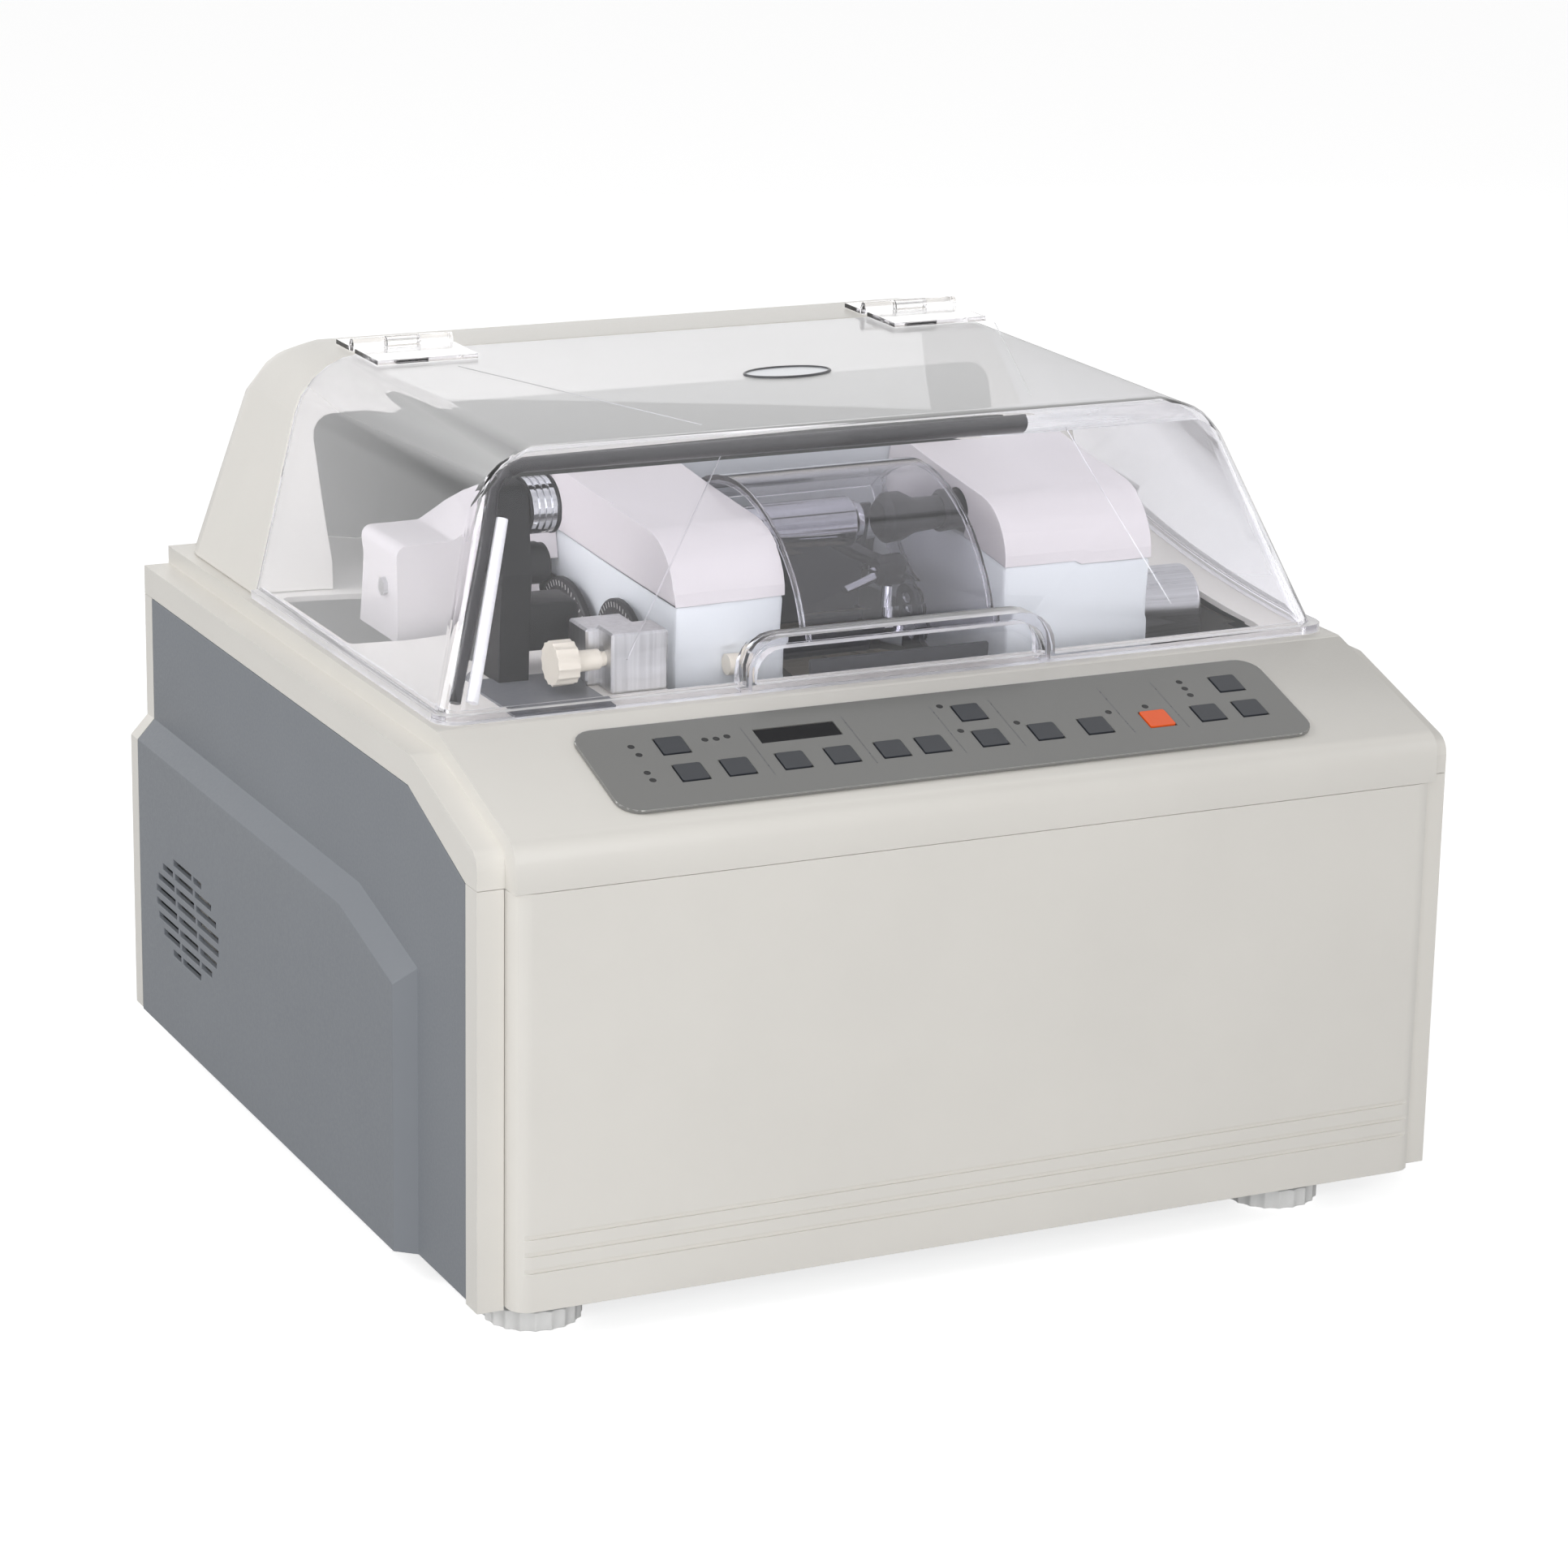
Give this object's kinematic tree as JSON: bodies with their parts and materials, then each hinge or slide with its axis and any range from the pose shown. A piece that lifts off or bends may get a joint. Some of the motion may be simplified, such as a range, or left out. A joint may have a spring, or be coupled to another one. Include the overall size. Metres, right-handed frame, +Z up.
{
  "type": "optical lens edger",
  "caption": "Bench-top optical lens edger with a hinged clear lid over a swinging lens carriage, a wet grinding chamber and a sloped key panel.",
  "frame": {"origin": "bottom centre of the bounding box, on the bench under the middle of the machine", "axes": "+X to the operator's right, +Y towards the back, +Z up"},
  "size_m": [0.56, 0.5128, 0.412],
  "materials": {
    "shell_white": "fine textured",
    "side_grey": "fine textured",
    "sheet_grey": "powder coated",
    "clear_acrylic": "polished clear",
    "smoked_acrylic": "polished, slightly tinted",
    "membrane_grey": "satin film",
    "key_dark": "satin film",
    "key_orange": "satin film",
    "display_dark": "gloss",
    "head_white": "gloss",
    "carriage_paint": "smooth paint on a casting",
    "chrome": "polished",
    "stainless": "brushed",
    "aluminium": "brushed",
    "black_metal": "black coating",
    "black_plastic": "matt",
    "rubber": "matt",
    "ivory": "satin",
    "abrasive": "sintered abrasive rim on a metal core",
    "foot_white": "satin"
  },
  "bodies": {
    "housing": {"base_tray": "sheet_grey", "front_panel": "shell_white", "left_side_frame": "shell_white", "right_side_frame": "shell_white", "left_side_panel": "side_grey", "right_side_panel": "side_grey", "rear_panel": "sheet_grey", "power_inlet": "black_plastic", "top_deck": "shell_white", "rear_hood": "shell_white", "hinge_base_left": "clear_acrylic", "hinge_base_right": "clear_acrylic", "grinding_chamber": "stainless", "grinding_motor": "black_metal", "drive_belt": "rubber", "water_nozzle": "black_metal", "pattern_bracket": "black_metal", "pattern_rest": "aluminium", "control_panel": "membrane_grey", "display_window": "display_dark", "foot_front_left": "foot_white", "foot_front_right": "foot_white", "foot_rear_left": "foot_white", "foot_rear_right": "foot_white"},
    "lid": {"lid": "clear_acrylic", "hinge_leaf_left": "clear_acrylic", "hinge_leaf_right": "clear_acrylic"},
    "carriage": {"carriage_frame": "carriage_paint", "left_head_cover": "head_white", "right_head_cover": "head_white", "clamp_motor": "stainless"},
    "visor": {"splash_visor": "smoked_acrylic"},
    "left_shaft": {"left_lens_shaft": "chrome"},
    "quill": {"clamp_quill": "black_metal"},
    "right_shaft": {"right_lens_shaft": "black_metal"},
    "spindle": {"grinding_spindle": "stainless", "grinding_wheels": "abrasive"},
    "pulley": {"motor_pulley": "aluminium"},
    "fan": {"fan_rotor": "black_plastic"},
    "chrome_knob": {"chrome_knob": "chrome"},
    "black_knob": {"black_knob": "black_plastic"},
    "size_dial": {"size_dial": "black_plastic"},
    "bevel_dial": {"bevel_dial": "black_plastic"},
    "thumb_screw": {"thumb_screw": "ivory"},
    "rocker": {"power_switch": "black_plastic"},
    "key_01": {"key_01": "key_dark"},
    "key_02": {"key_02": "key_dark"},
    "key_03": {"key_03": "key_dark"},
    "key_04": {"key_04": "key_dark"},
    "key_05": {"key_05": "key_dark"},
    "key_06": {"key_06": "key_dark"},
    "key_07": {"key_07": "key_dark"},
    "key_08": {"key_08": "key_dark"},
    "key_09": {"key_09": "key_dark"},
    "key_10": {"key_10": "key_orange"},
    "key_11": {"key_11": "key_dark"},
    "key_12": {"key_12": "key_dark"},
    "key_13": {"key_13": "key_dark"},
    "key_14": {"key_14": "key_dark"},
    "key_15": {"key_15": "key_dark"}
  },
  "joints": [
    {"name": "lid_hinge", "type": "hinge", "parent": "housing", "child": "lid", "pos_m": [0, 0.16665, 0.4085], "axis": [-1, 0, 0], "range_deg": [0, 80]},
    {"name": "carriage_swing", "type": "hinge", "parent": "housing", "child": "carriage", "pos_m": [0, 0.10165, 0.308], "axis": [-1, 0, 0], "range_deg": [-5, 3]},
    {"name": "visor_pivot", "type": "hinge", "parent": "housing", "child": "visor", "pos_m": [0, -0.05135, 0.281], "axis": [-1, 0, 0], "range_deg": [0, 80]},
    {"name": "left_shaft_spin", "type": "hinge", "parent": "carriage", "child": "left_shaft", "pos_m": [0, -0.05135, 0.334], "axis": [1, 0, 0], "continuous": true},
    {"name": "clamp_slide", "type": "slide", "parent": "carriage", "child": "quill", "axis": [-1, 0, 0], "range_m": [0, 0.008]},
    {"name": "right_shaft_spin", "type": "hinge", "parent": "quill", "child": "right_shaft", "pos_m": [0, -0.05135, 0.334], "axis": [1, 0, 0], "continuous": true},
    {"name": "spindle_spin", "type": "hinge", "parent": "housing", "child": "spindle", "pos_m": [0, -0.05135, 0.221], "axis": [1, 0, 0], "continuous": true},
    {"name": "motor_pulley_spin", "type": "hinge", "parent": "housing", "child": "pulley", "pos_m": [0, 0.08865, 0.078], "axis": [1, 0, 0], "continuous": true},
    {"name": "fan_spin", "type": "hinge", "parent": "housing", "child": "fan", "pos_m": [-0.2435, 0.16165, 0.094], "axis": [1, 0, 0], "continuous": true},
    {"name": "chrome_knob_turn", "type": "hinge", "parent": "housing", "child": "chrome_knob", "pos_m": [-0.17, -0.07835, 0.3695], "axis": [1, 0, 0], "range_deg": [-150, 150]},
    {"name": "black_knob_turn", "type": "hinge", "parent": "housing", "child": "black_knob", "pos_m": [-0.17, -0.07835, 0.3395], "axis": [1, 0, 0], "range_deg": [-150, 150]},
    {"name": "size_dial_turn", "type": "hinge", "parent": "carriage", "child": "size_dial", "pos_m": [-0.112, -0.05535, 0.2805], "axis": [1, 0, 0], "range_deg": [-165, 165]},
    {"name": "bevel_dial_turn", "type": "hinge", "parent": "carriage", "child": "bevel_dial", "pos_m": [-0.112, 0.00815, 0.2727], "axis": [1, 0, 0], "range_deg": [-165, 165]},
    {"name": "thumb_screw_turn", "type": "hinge", "parent": "housing", "child": "thumb_screw", "pos_m": [-0.165, -0.11635, 0.299], "axis": [1, 0, 0], "range_deg": [-120, 120]},
    {"name": "rocker_tilt", "type": "hinge", "parent": "housing", "child": "rocker", "pos_m": [0.165, 0.24695, 0.087], "axis": [1, 0, 0], "range_deg": [-6, 6]},
    {"name": "key_01_press", "type": "slide", "parent": "housing", "child": "key_01", "axis": [0, 0.294, -0.9558], "range_m": [0, 0.0005], "stiffness_N_per_m": 200, "springref_m": -0.0005},
    {"name": "key_02_press", "type": "slide", "parent": "housing", "child": "key_02", "axis": [0, 0.294, -0.9558], "range_m": [0, 0.0005], "stiffness_N_per_m": 200, "springref_m": -0.0005},
    {"name": "key_03_press", "type": "slide", "parent": "housing", "child": "key_03", "axis": [0, 0.294, -0.9558], "range_m": [0, 0.0005], "stiffness_N_per_m": 200, "springref_m": -0.0005},
    {"name": "key_04_press", "type": "slide", "parent": "housing", "child": "key_04", "axis": [0, 0.294, -0.9558], "range_m": [0, 0.0005], "stiffness_N_per_m": 200, "springref_m": -0.0005},
    {"name": "key_05_press", "type": "slide", "parent": "housing", "child": "key_05", "axis": [0, 0.294, -0.9558], "range_m": [0, 0.0005], "stiffness_N_per_m": 200, "springref_m": -0.0005},
    {"name": "key_06_press", "type": "slide", "parent": "housing", "child": "key_06", "axis": [0, 0.294, -0.9558], "range_m": [0, 0.0005], "stiffness_N_per_m": 200, "springref_m": -0.0005},
    {"name": "key_07_press", "type": "slide", "parent": "housing", "child": "key_07", "axis": [0, 0.294, -0.9558], "range_m": [0, 0.0005], "stiffness_N_per_m": 200, "springref_m": -0.0005},
    {"name": "key_08_press", "type": "slide", "parent": "housing", "child": "key_08", "axis": [0, 0.294, -0.9558], "range_m": [0, 0.0005], "stiffness_N_per_m": 200, "springref_m": -0.0005},
    {"name": "key_09_press", "type": "slide", "parent": "housing", "child": "key_09", "axis": [0, 0.294, -0.9558], "range_m": [0, 0.0005], "stiffness_N_per_m": 200, "springref_m": -0.0005},
    {"name": "key_10_press", "type": "slide", "parent": "housing", "child": "key_10", "axis": [0, 0.294, -0.9558], "range_m": [0, 0.0005], "stiffness_N_per_m": 200, "springref_m": -0.0005},
    {"name": "key_11_press", "type": "slide", "parent": "housing", "child": "key_11", "axis": [0, 0.294, -0.9558], "range_m": [0, 0.0005], "stiffness_N_per_m": 200, "springref_m": -0.0005},
    {"name": "key_12_press", "type": "slide", "parent": "housing", "child": "key_12", "axis": [0, 0.294, -0.9558], "range_m": [0, 0.0005], "stiffness_N_per_m": 200, "springref_m": -0.0005},
    {"name": "key_13_press", "type": "slide", "parent": "housing", "child": "key_13", "axis": [0, 0.294, -0.9558], "range_m": [0, 0.0005], "stiffness_N_per_m": 200, "springref_m": -0.0005},
    {"name": "key_14_press", "type": "slide", "parent": "housing", "child": "key_14", "axis": [0, 0.294, -0.9558], "range_m": [0, 0.0005], "stiffness_N_per_m": 200, "springref_m": -0.0005},
    {"name": "key_15_press", "type": "slide", "parent": "housing", "child": "key_15", "axis": [0, 0.294, -0.9558], "range_m": [0, 0.0005], "stiffness_N_per_m": 200, "springref_m": -0.0005}
  ],
  "couplings": [
    {"joint": "right_shaft_spin", "follows": "left_shaft_spin", "ratio": 1},
    {"joint": "motor_pulley_spin", "follows": "spindle_spin", "ratio": 0.66667}
  ]
}
